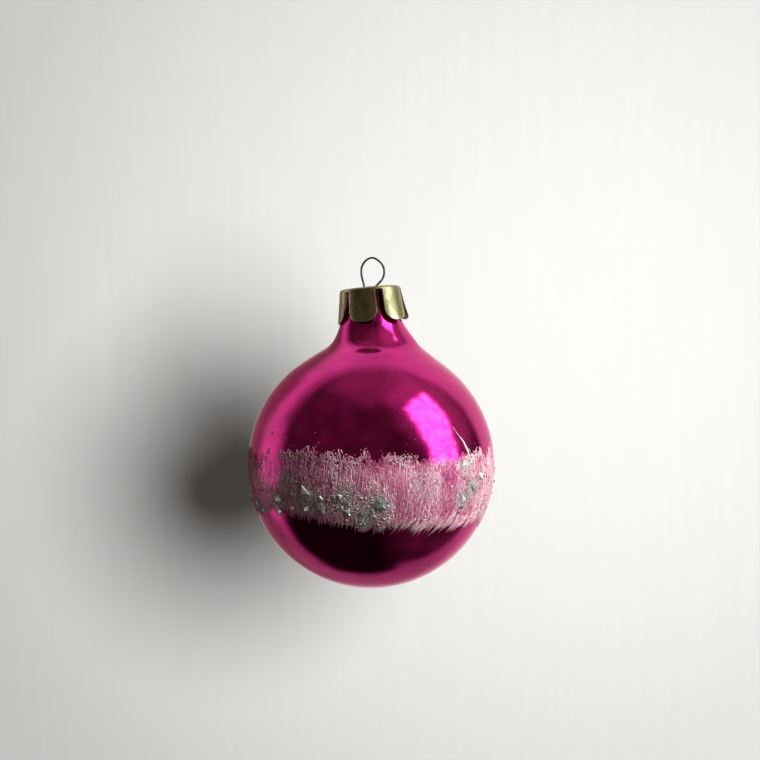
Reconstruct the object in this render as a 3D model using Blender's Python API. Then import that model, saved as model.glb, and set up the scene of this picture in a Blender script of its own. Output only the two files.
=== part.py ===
"""Hanging glass ball ornament: blown ball, painted band, glass chips, stamped cap and wire hanger.

Units are metres and +Z is up. The origin is on the ball's axis, level with the inside top of the
wire loop, where the ornament hangs from. The front of the ornament faces -Y.
"""

import math
import random

import bmesh
import bpy
from mathutils import Matrix, Vector

MM = 0.001

# Blown glass ball: a sphere whose shoulder draws up into an open neck
BALL_RADIUS = 25.0 * MM
BALL_CENTRE_Z = -41.63 * MM
GLASS_WALL = 0.6 * MM
SHOULDER_LATITUDE = math.radians(56.0)

# Neck outline in mm, from shoulder to rim: radius, and height above the ball's centre
NECK_ROUTE = [(11.7, 22.3), (9.3, 24.0), (7.8, 26.0), (6.5, 28.4), (5.3, 31.6), (4.8, 34.8)]

# The hand-drawn neck swells towards +X a little above the shoulder
SWELL_SIZE = 0.7 * MM
SWELL_HEIGHT = 25.0 * MM
SWELL_SPREAD = 3.0 * MM

# Raised band of glue and paint around the ball
BAND_GAP = 0.25 * MM
BAND_THICKNESS = 0.3 * MM
BAND_TOP_LATITUDE = math.radians(11.0)
BAND_BOTTOM_LATITUDE = math.radians(-24.0)

# Crushed glass chips glued on the band
CHIP_GAP = 0.35 * MM
CHIP_THICKNESS = 0.4 * MM
CHIP_LARGEST_TILT = math.radians(8.0)

# Stamped sheet cap, seated slightly askew on the neck
SHEET = 0.3 * MM
CAP_RADIUS = 6.2 * MM
CAP_BEND_RADIUS = 0.7 * MM
CAP_TOP_Z = -5.85 * MM
CAP_OFFSET_X = -0.27 * MM
CAP_TILT = math.radians(5.0)
PETAL_LENGTH = 6.4 * MM
PETAL_ROUNDING = 2.3 * MM
PETAL_FLARE = math.radians(7.5)
HOLE_RADIUS = 0.5 * MM
HOLE_SPACING = 2.2 * MM

# The stamping is uneven: each petal's middle, from the front, and half its width, in degrees
PETALS = [(-82, 26), (-16.5, 26), (49, 26), (106, 22.5), (163, 22.5), (220.5, 22.5)]

# Bent wire hanger: a loop above the cap and two legs inside the neck
WIRE_RADIUS = 0.21 * MM
HANGER_TRAVEL = 3.0 * MM
LEG_LENGTH = 13.0 * MM
LEG_SPREAD = 3.6 * MM
WIRE_POINTS_PER_STEP = 3

# Loop route above the cap, in the XZ plane: from the ball's axis, and up from the cap's top face
LOOP_ROUTE = [
    (-1.52, 0.79), (-1.93, 2.42), (-1.93, 4.05), (-1.24, 5.37), (-0.20, 6.03), (0.77, 5.98),
    (1.85, 5.20), (2.56, 4.05), (2.58, 2.52), (1.97, 1.38), (1.10, 0.45),
]

# Chips in the three front clusters: longitude from the front, latitude, longest side, corners
FRONT_CHIPS = [
    (-66, -16, 2.2, 5), (-60, -18, 1.4, 4), (-45, -11, 2.3, 3), (-45, -17, 2.0, 4),
    (-37, -15, 1.6, 5), (-29, -8, 3.2, 3), (-22, -10, 1.6, 3), (-29, -15, 1.8, 4),
    (-22, -15, 1.8, 4), (-13, -8, 1.5, 3), (-10, -15, 1.7, 5), (-3, -16, 1.6, 4),
    (4, -12, 2.9, 5), (45, -12, 1.9, 6), (45, 4, 2.0, 4), (51, 4, 1.5, 5),
    (52, -7, 2.4, 5), (58, -2, 1.6, 4),
]
BACK_CHIP_COUNT = 10
BACK_CHIP_FIRST_LONGITUDE = 82.0
BACK_CHIP_STEP = 22.0

# Smoothness
TURN_STEPS = 48
SPHERE_STEPS = 20
INNER_SPHERE_STEPS = 14
NECK_STEPS = 2
BAND_STEPS = 8
PETAL_COLUMNS = 8
GAP_COLUMNS = 2
PETAL_ROWS = 5
BEND_ROWS = 3
HOLE_STEPS = 16
SHARP_ANGLE = math.radians(35.0)


def clear_scene():
    """Remove every object, so that the script also runs again in an open file."""
    for thing in list(bpy.data.objects):
        bpy.data.objects.remove(thing, do_unlink=True)


def make_material(name, color, roughness, metallic):
    """Return a Principled material with one colour."""
    material = bpy.data.materials.new(name)
    material.use_nodes = True
    shader = material.node_tree.nodes["Principled BSDF"]
    shader.inputs["Base Color"].default_value = (*color, 1.0)
    shader.inputs["Roughness"].default_value = roughness
    shader.inputs["Metallic"].default_value = metallic
    return material


def add_object(name, data, material=None):
    """Link data to the scene as a named object with its material."""
    thing = bpy.data.objects.new(name, data)
    bpy.context.scene.collection.objects.link(thing)
    if material:
        data.materials.append(material)
    return thing


def mesh_from_bmesh(name, shape):
    """Turn a bmesh into a smooth-shaded mesh with its faces pointing out."""
    bmesh.ops.recalc_face_normals(shape, faces=shape.faces)
    mesh = bpy.data.meshes.new(name)
    shape.to_mesh(mesh)
    shape.free()
    mesh.shade_smooth()
    mesh.set_sharp_from_angle(angle=SHARP_ANGLE)
    return mesh


# ---------------------------------------------------------------- turned shapes

def arc_points(radius, start, end, steps):
    """Points (radius, height) along a circle about the ball's centre, by latitude."""
    points = []
    for step in range(steps + 1):
        latitude = start + (end - start) * step / steps
        points.append((radius * math.cos(latitude), radius * math.sin(latitude)))
    return points


def smooth_route(points, steps):
    """Catmull-Rom curve through hand-set points, so that the line bends without corners."""
    padded = [points[0] * 2 - points[1]] + points + [points[-1] * 2 - points[-2]]
    route = []
    for before, start, end, after in zip(padded, padded[1:], padded[2:], padded[3:]):
        for step in range(steps):
            t = step / steps
            bend = start * 2 + (end - before) * t
            bend += (before * 2 - start * 5 + end * 4 - after) * t * t
            bend += (start * 3 - before - end * 3 + after) * t**3
            route.append(bend / 2)
    route.append(points[-1])
    return route


def move_inward(outline, distance):
    """Shift each point of an outline of (radius, height) points towards the axis, along its normal."""
    moved = []
    last = len(outline) - 1
    for number, place in enumerate(outline):
        before = Vector(outline[max(number - 1, 0)])
        after = Vector(outline[min(number + 1, last)])
        slope = (after - before).normalized()
        moved.append(tuple(Vector(place) + Vector((-slope.y, slope.x)) * distance))
    return moved


def neck_points():
    """Outer face of the neck, from the end of the sphere to the rim."""
    sphere_end = Vector((math.cos(SHOULDER_LATITUDE), math.sin(SHOULDER_LATITUDE))) * BALL_RADIUS
    route = [sphere_end] + [Vector(place) * MM for place in NECK_ROUTE]
    return [tuple(place) for place in smooth_route(route, NECK_STEPS)]


def ball_outline():
    """Closed section of the glass wall: up the outside to the rim, then down the inside."""
    south = -math.pi / 2
    neck = neck_points()
    outside = arc_points(BALL_RADIUS, south, SHOULDER_LATITUDE, SPHERE_STEPS) + neck[1:]
    inner_neck = move_inward(neck, GLASS_WALL)
    inner_neck[-1] = (inner_neck[-1][0], neck[-1][1])
    inside = arc_points(BALL_RADIUS - GLASS_WALL, south, SHOULDER_LATITUDE, INNER_SPHERE_STEPS)
    return outside + (inside[:-1] + inner_neck)[::-1]


def neck_swell(height):
    """How far the hand-drawn neck stands towards +X at a height above the ball's centre."""
    return SWELL_SIZE * math.exp(-((height - SWELL_HEIGHT) / SWELL_SPREAD) ** 2)


def turn(outline, closed_loop):
    """Spin an outline of (radius, height) points about the ball's axis into a closed body."""
    shape = bmesh.new()
    rings = []
    for radius, height in outline:
        shift = neck_swell(height)
        place_z = BALL_CENTRE_Z + height
        if radius < 1e-7:
            rings.append([shape.verts.new((0.0, 0.0, place_z))])
            continue
        ring = []
        for step in range(TURN_STEPS):
            angle = 2 * math.pi * step / TURN_STEPS
            place = (radius * math.cos(angle) + shift, radius * math.sin(angle), place_z)
            ring.append(shape.verts.new(place))
        rings.append(ring)
    pairs = list(zip(rings, rings[1:]))
    if closed_loop:
        pairs.append((rings[-1], rings[0]))
    for lower, upper in pairs:
        for step in range(TURN_STEPS):
            after = (step + 1) % TURN_STEPS
            if len(lower) == 1:
                shape.faces.new((lower[0], upper[after], upper[step]))
            elif len(upper) == 1:
                shape.faces.new((lower[step], lower[after], upper[0]))
            else:
                shape.faces.new((lower[step], lower[after], upper[after], upper[step]))
    return shape


def build_ball():
    """Hollow blown glass ball with an open neck, lacquered magenta over silvering."""
    lacquer = make_material("magenta_lacquered_glass", (0.50, 0.01, 0.25), 0.08, 1.0)
    return add_object("glass_ball", mesh_from_bmesh("glass_ball", turn(ball_outline(), False)), lacquer)


def build_band():
    """Shell of dried glue and paint that stands a little proud of the glass all round."""
    inner_radius = BALL_RADIUS + BAND_GAP
    outer_radius = inner_radius + BAND_THICKNESS
    outside = arc_points(outer_radius, BAND_BOTTOM_LATITUDE, BAND_TOP_LATITUDE, BAND_STEPS)
    inside = arc_points(inner_radius, BAND_BOTTOM_LATITUDE, BAND_TOP_LATITUDE, BAND_STEPS)
    paint = make_material("pale_pink_paint", (0.72, 0.45, 0.50), 0.7, 0.0)
    return add_object("paint_band", mesh_from_bmesh("paint_band", turn(outside + inside[::-1], True)), paint)


# ---------------------------------------------------------------- glass chips

def chip_mesh(name, length, corners, rng):
    """Flat splinter of glass: an uneven polygon whose upper face is a little smaller."""
    shape = bmesh.new()
    bottom = []
    top = []
    for corner in range(corners):
        angle = 2 * math.pi * (corner + rng.uniform(-0.18, 0.18)) / corners
        reach = length / 2 * rng.uniform(0.72, 1.0)
        across = Vector((math.cos(angle) * reach, math.sin(angle) * reach, 0.0))
        bottom.append(shape.verts.new(across))
        top.append(shape.verts.new(across * 0.82 + Vector((0.0, 0.0, CHIP_THICKNESS))))
    shape.faces.new(bottom)
    shape.faces.new(top)
    for corner in range(corners):
        after = (corner + 1) % corners
        shape.faces.new((bottom[corner], bottom[after], top[after], top[corner]))
    return mesh_from_bmesh(name, shape)


def place_on_ball(longitude, latitude, radius, spin, tilt):
    """Matrix that stands a flat piece on the ball, its local Z axis pointing outward."""
    outward = Matrix.Rotation(longitude, 4, "Z") @ Matrix.Rotation(math.pi / 2 - latitude, 4, "X")
    centre = Matrix.Translation((0.0, 0.0, BALL_CENTRE_Z))
    stand = Matrix.Translation((0.0, 0.0, radius))
    return centre @ outward @ stand @ Matrix.Rotation(spin, 4, "Z") @ Matrix.Rotation(tilt, 4, "X")


def chip_places(rng):
    """Every chip as longitude, latitude, length and corners: front clusters, then a sparse back."""
    places = list(FRONT_CHIPS)
    for number in range(BACK_CHIP_COUNT):
        longitude = BACK_CHIP_FIRST_LONGITUDE + BACK_CHIP_STEP * number + rng.uniform(-6.0, 6.0)
        places.append((longitude, rng.uniform(-17.0, 2.0), rng.uniform(1.1, 1.9), rng.randint(3, 5)))
    return places


def build_chips():
    """Crushed glass chips on the band, one object each."""
    rng = random.Random(11)
    glass = make_material("clear_glass_chip", (0.75, 0.80, 0.78), 0.15, 0.0)
    radius = BALL_RADIUS + BAND_GAP + BAND_THICKNESS + CHIP_GAP
    for number, (longitude, latitude, length, corners) in enumerate(chip_places(rng), start=1):
        name = f"glass_chip_{number:02d}"
        chip = add_object(name, chip_mesh(name, length * MM, corners, rng), glass)
        spin = rng.uniform(0.0, 2 * math.pi)
        tilt = rng.uniform(-CHIP_LARGEST_TILT, CHIP_LARGEST_TILT)
        chip.matrix_world = place_on_ball(math.radians(longitude), math.radians(latitude), radius, spin, tilt)


# ---------------------------------------------------------------- cap

def cap_column_angles():
    """Angles of the cap's columns, each with its petal's number and place across it, or None in a gap."""
    columns = []
    for petal, (middle, half_width) in enumerate(PETALS):
        for column in range(PETAL_COLUMNS + 1):
            across = -1.0 + 2.0 * column / PETAL_COLUMNS
            columns.append((math.radians(middle + across * half_width), petal, across))
        next_middle, next_half_width = PETALS[(petal + 1) % len(PETALS)]
        gap_start = middle + half_width
        gap = (next_middle - next_half_width - gap_start) % 360
        for column in range(1, GAP_COLUMNS):
            columns.append((math.radians(gap_start + gap * column / GAP_COLUMNS), None, 0.0))
    return columns


def cap_point(angle, along, drop):
    """Point on the cap's outer face: angle from the front, place along the bend, drop below it."""
    bend = along * (math.pi / 2 - PETAL_FLARE)
    flat_radius = CAP_RADIUS - CAP_BEND_RADIUS
    radius = flat_radius + CAP_BEND_RADIUS * math.sin(bend) + drop * math.sin(PETAL_FLARE)
    height = -CAP_BEND_RADIUS * (1.0 - math.cos(bend)) - drop * math.cos(PETAL_FLARE)
    return Vector((radius * math.sin(angle), -radius * math.cos(angle), height))


def petal_drop(across):
    """Length of a petal below the bend, at a place across it: straight sides and a rounded end."""
    return PETAL_LENGTH - PETAL_ROUNDING * (1.0 - math.sqrt(1.0 - abs(across) ** 2.4))


def cap_mesh():
    """Outer face of the cap as one sheet: a flat disc, a bent edge and six petals."""
    shape = bmesh.new()
    columns = cap_column_angles()
    flat_radius = CAP_RADIUS - CAP_BEND_RADIUS
    centre = shape.verts.new((0.0, 0.0, 0.0))
    rows = []
    for radius in (0.35 * flat_radius, 0.7 * flat_radius):
        ring = []
        for angle, _, _ in columns:
            ring.append(shape.verts.new((radius * math.sin(angle), -radius * math.cos(angle), 0.0)))
        rows.append(ring)
    for row in range(BEND_ROWS + 1):
        rows.append([shape.verts.new(cap_point(angle, row / BEND_ROWS, 0.0)) for angle, _, _ in columns])
    count = len(columns)
    for column in range(count):
        shape.faces.new((centre, rows[0][column], rows[0][(column + 1) % count]))
    for upper, lower in zip(rows, rows[1:]):
        for column in range(count):
            after = (column + 1) % count
            shape.faces.new((upper[column], lower[column], lower[after], upper[after]))
    add_petals(shape, columns, rows[-1])
    return mesh_from_bmesh("cap", shape)


def add_petals(shape, columns, edge):
    """Grow the petals down from the bend's lower edge."""
    previous = edge
    for row in range(1, PETAL_ROWS + 1):
        current = []
        for angle, petal, across in columns:
            if petal is None:
                current.append(None)
                continue
            drop = petal_drop(across) * row / PETAL_ROWS
            current.append(shape.verts.new(cap_point(angle, 1.0, drop)))
        for column in range(len(columns) - 1):
            if columns[column][1] is None or columns[column][1] != columns[column + 1][1]:
                continue
            after = column + 1
            shape.faces.new((previous[column], current[column], current[after], previous[after]))
        previous = current


def add_hole_cutter(number, offset_x, parent):
    """Upright cylinder that drills one of the cap's two wire holes."""
    shape = bmesh.new()
    bmesh.ops.create_cone(shape, cap_ends=True, segments=HOLE_STEPS, radius1=HOLE_RADIUS,
                          radius2=HOLE_RADIUS, depth=10 * SHEET)
    cutter = add_object(f"hole_cutter_{number}", mesh_from_bmesh("hole_cutter", shape))
    cutter.parent = parent
    cutter.location = (offset_x, 0.0, 0.0)
    cutter.hide_render = True
    cutter.display_type = "WIRE"
    return cutter


def build_cap():
    """Stamped brass-coloured cap with two wire holes, tipped about Y so that its +X side is higher."""
    brass = make_material("olive_brass_sheet", (0.42, 0.36, 0.20), 0.35, 1.0)
    cap = add_object("cap", cap_mesh(), brass)
    cap.location = (CAP_OFFSET_X, 0.0, CAP_TOP_Z)
    cap.rotation_euler = (0.0, -CAP_TILT, 0.0)
    sheet = cap.modifiers.new("sheet thickness", "SOLIDIFY")
    sheet.thickness = SHEET
    sheet.offset = -1.0
    sheet.use_even_offset = True
    for number, side in enumerate((-1.0, 1.0), start=1):
        drill = cap.modifiers.new(f"wire hole {number}", "BOOLEAN")
        drill.operation = "DIFFERENCE"
        drill.object = add_hole_cutter(number, side * HOLE_SPACING / 2, cap)
    return cap


# ---------------------------------------------------------------- hanger

def leg_points(side):
    """One leg from its tip up to the cap's top face: splayed below, straight where it slides."""
    hole_x = CAP_OFFSET_X + side * HOLE_SPACING / 2
    tip_x = side * LEG_SPREAD
    straight = HANGER_TRAVEL + 2 * SHEET
    splay = LEG_LENGTH - straight
    points = [Vector((tip_x, 0.0, CAP_TOP_Z - LEG_LENGTH))]
    for share in (0.66, 0.33):
        easing = share * share * (3.0 - 2.0 * share)
        points.append(Vector((hole_x + (tip_x - hole_x) * easing, 0.0, CAP_TOP_Z - straight - splay * share)))
    for share in (1.0, 0.66, 0.33, 0.0):
        points.append(Vector((hole_x, 0.0, CAP_TOP_Z - straight * share)))
    return points


def build_hanger():
    """Spring wire bent into a loop, with both legs passing through the cap into the neck."""
    route = leg_points(-1.0)
    for x, up in LOOP_ROUTE:
        route.append(Vector((x * MM, 0.0, CAP_TOP_Z + up * MM)))
    route += leg_points(1.0)[::-1]
    route = smooth_route(route, WIRE_POINTS_PER_STEP)
    wire = bpy.data.curves.new("hanger", "CURVE")
    wire.dimensions = "3D"
    wire.bevel_depth = WIRE_RADIUS
    wire.bevel_resolution = 2
    wire.use_fill_caps = True
    spline = wire.splines.new("POLY")
    spline.points.add(len(route) - 1)
    for point, place in zip(spline.points, route):
        point.co = (*place, 1.0)
    steel = make_material("dark_steel_wire", (0.16, 0.16, 0.15), 0.4, 1.0)
    return add_object("hanger", wire, steel)


def main():
    clear_scene()
    build_ball()
    build_band()
    build_chips()
    build_cap()
    build_hanger()


main()
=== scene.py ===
import random
from math import asin, atan2, cos, degrees, exp, pi, radians, sin, sqrt, tan

import bmesh
import bpy
from mathutils import Matrix, Vector, noise


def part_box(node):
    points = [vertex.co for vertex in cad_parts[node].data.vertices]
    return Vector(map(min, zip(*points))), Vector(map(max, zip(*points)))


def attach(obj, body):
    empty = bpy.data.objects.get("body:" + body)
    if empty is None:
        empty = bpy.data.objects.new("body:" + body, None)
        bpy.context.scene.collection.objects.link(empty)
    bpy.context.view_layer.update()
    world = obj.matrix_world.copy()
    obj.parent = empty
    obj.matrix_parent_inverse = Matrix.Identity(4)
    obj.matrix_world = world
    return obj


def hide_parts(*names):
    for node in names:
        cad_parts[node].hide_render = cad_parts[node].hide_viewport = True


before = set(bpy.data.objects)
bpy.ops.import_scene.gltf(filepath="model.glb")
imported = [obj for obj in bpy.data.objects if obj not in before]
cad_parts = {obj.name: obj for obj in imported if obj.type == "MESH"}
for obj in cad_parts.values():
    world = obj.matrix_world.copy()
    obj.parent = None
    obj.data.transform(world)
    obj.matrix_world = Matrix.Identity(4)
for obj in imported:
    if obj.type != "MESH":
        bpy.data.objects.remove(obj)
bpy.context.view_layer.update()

MM = 0.001

# ---- sizes from the frame

ball_low, ball_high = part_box("glass_ball")
BALL_RADIUS = (ball_high.y - ball_low.y) / 2
BALL_CENTRE = Vector((0.0, 0.0, ball_low.z + BALL_RADIUS))
RIM_HEIGHT = ball_high.z - BALL_CENTRE.z

# ---- sizes repeated from the CAD

GLASS_WALL = 0.6 * MM
SHOULDER_LATITUDE = 56.0
NECK_ROUTE = [(11.7, 22.3), (9.3, 24.0), (7.8, 26.0), (6.5, 28.4), (5.3, 31.6), (4.8, 34.8)]
SWELL_SIZE = 0.7 * MM
SWELL_HEIGHT = 25.0 * MM
SWELL_SPREAD = 3.0 * MM

CAP_BEND_RADIUS = 0.7 * MM
CAP_FLAT_RADIUS = 6.2 * MM - CAP_BEND_RADIUS
CAP_TOP_Z = -5.85 * MM
CAP_OFFSET_X = -0.27 * MM
CAP_TILT = radians(5.0)
PETAL_LENGTH = 6.4 * MM
PETAL_ROUNDING = 2.3 * MM
PETAL_FLARE = 7.5
HOLE_RADIUS = 0.5 * MM
HOLE_SPACING = 2.2 * MM

WIRE_RADIUS = 0.21 * MM
HANGER_TRAVEL = 3.0 * MM
LEG_LENGTH = 13.0 * MM
LEG_SPREAD = 3.6 * MM
LOOP_ROUTE = [
    (-1.52, 0.79), (-1.93, 2.42), (-1.93, 4.05), (-1.24, 5.37), (-0.20, 6.03), (0.77, 5.98),
    (1.85, 5.20), (2.56, 4.05), (2.58, 2.52), (1.97, 1.38), (1.10, 0.45),
]

# ---- the looks' own sizes

TURN_STEPS = 256
SPHERE_RINGS = 120
NECK_RINGS_PER_STEP = 10
ON_AXIS = 0.0001 * MM

# Petals: middle and half width in degrees, extra flare in degrees, and twist
PETALS = [
    (-82.0, 26.0, 0.8, 0.3), (-16.5, 26.0, 0.0, 0.0), (49.0, 26.0, 0.3, 0.2),
    (106.0, 22.5, 2.5, -0.5), (163.0, 22.5, 0.8, 0.4), (220.5, 22.5, -0.6, -0.3),
]
CAP_SHEET = 0.26 * MM
CAP_DOME = 0.10 * MM
PLATE_ROWS = (0.12, 0.3, 0.5, 0.7, 0.88)
BEND_ROWS = 7
PETAL_ROWS = 18
PETAL_COLUMNS = 22
GAP_COLUMNS = 5

# At a petal's tip: degrees of flare for a twist of 1, how far its sides curl in, depth of dents
TWIST_FLARE = 6.0
PETAL_CURL = 0.16 * MM
DENT_DEPTH = 0.035 * MM

WIRE_STEPS = 8
WIRE_SIDES = 20

# How many of each mark the band's paint is made of, and the glass grains outside the patches
LONG_STROKES = 1300
SHORT_STROKES = 3600
LASHES = 900
SLANTED_LASHES = 150
CRUMBS = 5200
CURLS = 1900
DOTS = 110
LOOSE_GRAINS = 500

# Mean latitudes of the painted band's edges, in degrees
BAND_TOP = 6.8
BAND_BOTTOM = -21.4

# Where the paint film is thin: longitude, latitude, inner and outer reach in degrees, and how thin
WORN_PLACES = [
    (-80.0, 0.0, 8.0, 48.0, 0.5), (-48.0, 4.0, 3.0, 16.0, 0.85), (32.0, 8.0, 3.0, 16.0, 0.65),
]

# The chips within this longitude of the front are made dark
DARK_FRONT_REACH = 6.0

# Where glue carries glass: longitude and latitude, spread of each, grains
GLUE_PATCHES = [
    (-64, -17, 4, 3, 90), (-45, -14, 3, 4, 100), (-27, -11, 6, 5, 420), (-11, -10, 5, 5, 260),
    (2, -13, 6, 5, 420), (-3, -19, 6, 3, 200), (46, 3, 5, 3, 110), (52, -6, 5, 4, 150),
    (45, -11, 5, 4, 110), (25, -3, 9, 5, 60), (-38, -5, 7, 5, 90),
    (100, -8, 12, 6, 260), (150, -7, 16, 6, 320), (-160, -8, 14, 6, 320), (-110, -9, 14, 6, 280),
]
# Those whose glue greys the raised paint too: all but the two of loose dust
GREY_PATCHES = GLUE_PATCHES[:9] + GLUE_PATCHES[11:]


# ---- small helpers

def new_object(name, data):
    thing = bpy.data.objects.new(name, data)
    bpy.context.scene.collection.objects.link(thing)
    return thing


def mesh_object(name, vertices, faces, materials, smooth=True):
    """Object from lists of places and faces."""
    mesh = bpy.data.meshes.new(name)
    mesh.from_pydata(vertices, [], faces)
    mesh.validate()
    for material in materials:
        mesh.materials.append(material)
    if smooth:
        mesh.shade_smooth()
    return new_object(name, mesh)


def direction(azimuth, elevation):
    """Unit vector: azimuth, or longitude, in degrees from the front (-Y) towards +X."""
    a = radians(azimuth)
    e = radians(elevation)
    return Vector((sin(a) * cos(e), -cos(a) * cos(e), sin(e)))


def around_axis(longitude, height):
    """Input for noise that has to close on itself round the ball."""
    lon = radians(longitude)
    return Vector((sin(lon), cos(lon), height))


def finished_shape(shape, name):
    """Object from a bmesh, which is freed."""
    mesh = bpy.data.meshes.new(name)
    shape.to_mesh(mesh)
    shape.free()
    return new_object(name, mesh)


def smooth_route(points, steps):
    """Catmull-Rom curve through given points."""
    padded = [points[0] * 2 - points[1]] + points + [points[-1] * 2 - points[-2]]
    route = []
    for before, start, end, after in zip(padded, padded[1:], padded[2:], padded[3:]):
        for step in range(steps):
            t = step / steps
            bend = start * 2 + (end - before) * t
            bend += (before * 2 - start * 5 + end * 4 - after) * t * t
            bend += (start * 3 - before - end * 3 + after) * t**3
            route.append(bend / 2)
    route.append(points[-1])
    return route


# ---- material helpers

class Nodes:
    """Short way to write a node tree: each call adds one node and returns its output."""

    def __init__(self, tree):
        self.tree = tree

    def add(self, kind, **inputs):
        return self.fill(self.tree.nodes.new("ShaderNode" + kind), **inputs)

    def shade(self, **inputs):
        """Set the inputs of a material's Principled shader."""
        self.fill(self.tree.nodes["Principled BSDF"], **inputs)

    def fill(self, node, **inputs):
        """Feed a node's inputs; their names are written with _ for each blank."""
        for key, value in inputs.items():
            self.feed(node.inputs[key.replace("_", " ")], value)
        return node

    def feed(self, socket, value):
        """Link an output to a socket, or set the socket to a number, a vector or a colour."""
        if isinstance(value, bpy.types.NodeSocket):
            self.tree.links.new(value, socket)
        elif hasattr(socket.default_value, "__len__"):
            size = len(socket.default_value)
            values = tuple(value) if hasattr(value, "__len__") else (value,) * size
            socket.default_value = (values + (1.0,))[:size]
        else:
            socket.default_value = value

    def math(self, operation, first, second=0.0):
        node = self.add("Math")
        node.operation = operation
        self.feed(node.inputs[0], first)
        self.feed(node.inputs[1], second)
        return node.outputs[0]

    def times(self, first, second):
        return self.math("MULTIPLY", first, second)

    def vector(self, operation, *values):
        """Vector operation; dot products and lengths come out as Value, the rest as Vector."""
        node = self.add("VectorMath")
        node.operation = operation
        for socket, value in zip(node.inputs, values):
            self.feed(socket, value)
        return node.outputs["Value" if operation in ("DOT_PRODUCT", "LENGTH") else "Vector"]

    def ramp(self, value, low, high, start=0.0, end=1.0):
        """Smooth step: start where value is low, end where it is high."""
        node = self.add("MapRange", Value=value, From_Min=low, From_Max=high,
                        To_Min=start, To_Max=end)
        node.interpolation_type = "SMOOTHSTEP"
        return node.outputs["Result"]

    def mix(self, share, first, second, blend="MIX"):
        """Blend two colours, or two outputs, by share."""
        node = self.add("Mix")
        node.data_type = "RGBA"
        node.blend_type = blend
        self.feed(node.inputs[0], share)
        self.feed(node.inputs[6], first)
        self.feed(node.inputs[7], second)
        return node.outputs[2]

    def place(self, scale=(1.0, 1.0, 1.0), offset=(0.0, 0.0, 0.0)):
        """Object coordinates in metres, moved and scaled."""
        source = self.add("TexCoord").outputs["Object"]
        node = self.add("Mapping", Vector=source, Location=offset, Scale=scale)
        return node.outputs["Vector"]

    def noise(self, vector, scale, detail=3.0, roughness=0.5, distortion=0.0):
        node = self.add("TexNoise", Vector=vector, Scale=scale, Detail=detail,
                        Roughness=roughness, Distortion=distortion)
        return node.outputs["Fac"]

    def dot(self, vector, axis):
        return self.vector("DOT_PRODUCT", vector, axis)

    def unit(self, vector):
        return self.vector("NORMALIZE", vector)

    def split(self, vector):
        return self.add("SeparateXYZ", Vector=vector).outputs

    def stir(self, vector, scale, amount):
        """Push a direction about by noise, so that edges drawn with it are uneven."""
        wave = self.add("TexNoise", Vector=vector, Scale=scale, Detail=2.0)
        base = self.vector("SUBTRACT", vector, amount / 2)
        return self.vector("MULTIPLY_ADD", wave.outputs["Color"], amount, base)

    def tone(self):
        """The two parts of the tone that each stroke and each bit of glass carries."""
        source = self.add("Attribute")
        source.attribute_name = "tone"
        return self.add("SeparateColor", Color=source.outputs["Color"]).outputs[:2]

    def bump(self, height, distance, strength=1.0, normal=None):
        node = self.add("Bump", Height=height, Distance=distance, Strength=strength)
        if normal:
            self.feed(node.inputs["Normal"], normal)
        return node.outputs["Normal"]


def new_material(name):
    """Material with a plain Principled shader, and its node helper."""
    material = bpy.data.materials.new(name)
    material.use_nodes = True
    return material, Nodes(material.node_tree)


def lobe(nodes, way, azimuth, elevation, inner, outer):
    """1 within inner degrees of a direction, fading to 0 at outer degrees."""
    dot = nodes.dot(way, direction(azimuth, elevation))
    return nodes.ramp(dot, cos(radians(outer)), cos(radians(inner)))


# ---- materials

def turned_coordinates(nodes, split, around, up):
    """Longitude and latitude as a vector, each with its own scale, and the plain latitude."""
    angle = nodes.math("ARCTAN2", split[0], nodes.times(split[1], -1.0))
    lift = nodes.math("ARCSINE", split[2])
    join = nodes.add("CombineXYZ", X=nodes.times(angle, around), Y=nodes.times(lift, up))
    return join.outputs[0], lift


def lacquer_colour(nodes, way, streaks):
    """Magenta, a little deeper where it pooled, with upright drag marks, rubs, holes and blots."""
    drag = nodes.ramp(nodes.noise(streaks, 1.7, 5.0, 0.7), 0.35, 0.7, 0.0, 0.28)
    pooled = nodes.ramp(nodes.noise(way, 4.0, 3.0), 0.3, 0.7)
    lacquer = nodes.mix(pooled, (0.74, 0.005, 0.250), (0.60, 0.003, 0.200))
    lacquer = nodes.mix(drag, lacquer, (0.80, 0.06, 0.34))
    rubbed = nodes.ramp(nodes.noise(streaks, 1.5, 6.0, 0.72), 0.47, 0.66, 0.0, 0.6)
    rubbed = nodes.times(rubbed, nodes.ramp(nodes.noise(way, 2.3, 2.0), 0.36, 0.62))
    lacquer = nodes.mix(rubbed, lacquer, (0.30, 0.012, 0.10))
    lacquer = nodes.mix(pinholes(nodes, way), lacquer, (0.90, 0.45, 0.62))
    lacquer = nodes.mix(dark_blots(nodes, way), lacquer, (0.10, 0.002, 0.03))
    return nodes.mix(bare_rim(nodes, streaks), lacquer, (0.78, 0.74, 0.72))


def paint_colour(nodes, streaks, grains, glue):
    """Streaked pinks, grey with glass dust at the glue."""
    pale = nodes.ramp(nodes.noise(streaks, 0.9, 5.0, 0.7), 0.36, 0.62)
    paint = nodes.mix(pale, (0.46, 0.085, 0.20), (0.77, 0.45, 0.54))
    dust = nodes.add("TexVoronoi", Vector=grains, Scale=1.0)
    sparkle = nodes.ramp(nodes.split(dust.outputs["Color"])[0], 0.2, 1.0, 0.16, 0.85)
    grey = nodes.add("CombineXYZ", X=sparkle, Y=sparkle, Z=nodes.times(sparkle, 0.97))
    return nodes.mix(glue, paint, grey.outputs[0])


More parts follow.
